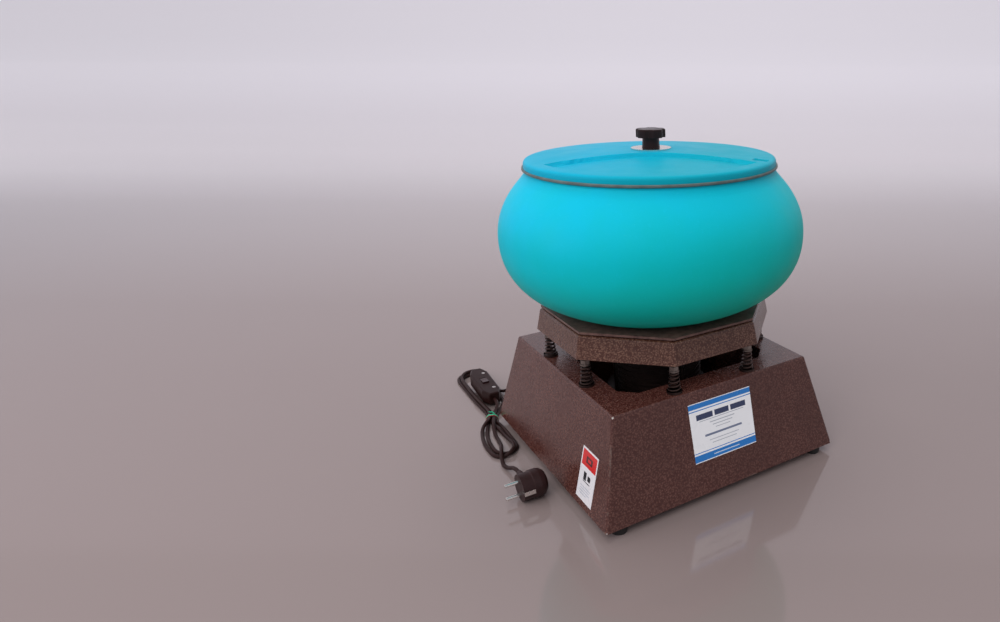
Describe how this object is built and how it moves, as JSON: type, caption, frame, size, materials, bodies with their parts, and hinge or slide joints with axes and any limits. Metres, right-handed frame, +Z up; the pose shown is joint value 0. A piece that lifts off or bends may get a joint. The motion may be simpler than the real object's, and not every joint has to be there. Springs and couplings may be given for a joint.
{
  "type": "vibratory rock tumbler",
  "caption": "Vibratory tumbler: lidded polyethylene bowl on a sprung octagonal pan with a motor and eccentric weights, over a folded steel base with a mains lead.",
  "frame": {"origin": "on the floor under the bowl's axis", "axes": "+Z up along the centre rod, -Y the front face with the large label, -X the left face with the small label"},
  "size_m": [0.4503, 0.5733, 0.4461],
  "materials": {
    "hammered_paint": "glossy hammered",
    "plate_paint": "satin",
    "black_rubber": "matt",
    "zinc_steel": "zinc plated",
    "dark_steel": "blackened",
    "spring_steel": "oiled",
    "label_white": "gloss film",
    "cast_alloy": "cast",
    "lamination_steel": "stacked laminations",
    "copper_winding": "varnished copper",
    "bearing_steel": "polished",
    "ground_steel": "ground",
    "cast_iron": "cast",
    "black_plastic": "satin",
    "bowl_polyethylene": "satin moulded",
    "lid_polyethylene": "satin moulded",
    "trim_rubber": "matt",
    "polished_steel": "polished",
    "knob_plastic": "satin",
    "brass": "turned",
    "white_plastic": "satin",
    "cord_sheath": "satin sheath",
    "green_tie": "film",
    "rocker_plastic": "gloss",
    "plug_rubber": "satin moulded",
    "nickel_pin": "nickel"
  },
  "bodies": {
    "base": {"base_housing": "hammered_paint", "rubber_feet": "black_rubber", "foot_screws": "zinc_steel", "foot_nuts": "zinc_steel", "front_label": "label_white", "side_label": "label_white", "suspension_springs": "spring_steel", "spring_seats": "dark_steel", "seat_rivets": "dark_steel", "strain_relief": "black_rubber", "gland_nut": "black_plastic", "terminal_block": "white_plastic", "terminal_screws": "brass", "inner_lead": "cord_sheath", "cord_lead": "cord_sheath", "cord_hank": "cord_sheath", "cord_tail": "cord_sheath", "twist_tie": "green_tie", "switch_top_shell": "black_plastic", "switch_bottom_shell": "black_plastic", "switch_screws": "zinc_steel", "plug_body": "plug_rubber", "plug_pins": "nickel_pin", "earth_contacts": "nickel_pin"},
    "suspended_unit": {"pan_skirt": "hammered_paint", "plate_gasket": "black_rubber", "carrier_plate": "plate_paint", "spring_studs": "zinc_steel", "spring_lower_nuts": "zinc_steel", "spring_upper_nuts": "zinc_steel", "motor_housing": "cast_alloy", "upper_end_bell": "cast_alloy", "lower_end_bell": "cast_alloy", "stator_core": "lamination_steel", "stator_windings": "copper_winding", "motor_bearings": "bearing_steel", "motor_tie_bolts": "zinc_steel", "motor_standoffs": "zinc_steel", "motor_mount_bolts": "zinc_steel", "centre_rod": "zinc_steel", "rod_lock_nuts": "zinc_steel", "bowl": "bowl_polyethylene", "bowl_washer": "zinc_steel", "bowl_nut": "zinc_steel"},
    "motor_rotor": {"motor_shaft": "ground_steel", "rotor_core": "lamination_steel", "upper_eccentric_weight": "cast_iron", "lower_eccentric_weight": "cast_iron", "weight_set_screws": "dark_steel", "cooling_fan": "black_plastic"},
    "lid_unit": {"lid": "lid_polyethylene", "lid_edge_trim": "trim_rubber"},
    "lid_washer_ring": {"lid_washer": "polished_steel"},
    "knob": {"knob_grip": "knob_plastic", "knob_insert": "brass"},
    "rocker": {"switch_rocker": "rocker_plastic"}
  },
  "joints": [
    {"name": "suspension_bounce", "type": "slide", "parent": "base", "child": "suspended_unit", "axis": [0, 0, 1], "range_m": [-0.004, 0.004], "stiffness_N_per_m": 16000, "springref_m": 0.0081, "deforming": ["suspension_springs"]},
    {"name": "motor_spin", "type": "hinge", "parent": "suspended_unit", "child": "motor_rotor", "pos_m": [0, 0, 0.12], "axis": [0, 0, 1], "continuous": true},
    {"name": "lid_lift", "type": "slide", "parent": "suspended_unit", "child": "lid_unit", "axis": [0, 0, 1], "range_m": [0, 0.12]},
    {"name": "knob_rise", "type": "slide", "parent": "lid_unit", "child": "lid_washer_ring", "axis": [0, 0, 1], "range_m": [0, 0.0126]},
    {"name": "knob_turn", "type": "hinge", "parent": "lid_washer_ring", "child": "knob", "pos_m": [0, 0, 0.43], "axis": [0, 0, 1], "range_deg": [0, 3600]},
    {"name": "switch_rock", "type": "hinge", "parent": "base", "child": "rocker", "pos_m": [-0.171, 0.27227, 0.02637], "axis": [1, 0, 0], "range_deg": [0, 14]}
  ],
  "couplings": [
    {"joint": "knob_rise", "follows": "knob_turn", "m_per_rad": 0.00019894}
  ]
}
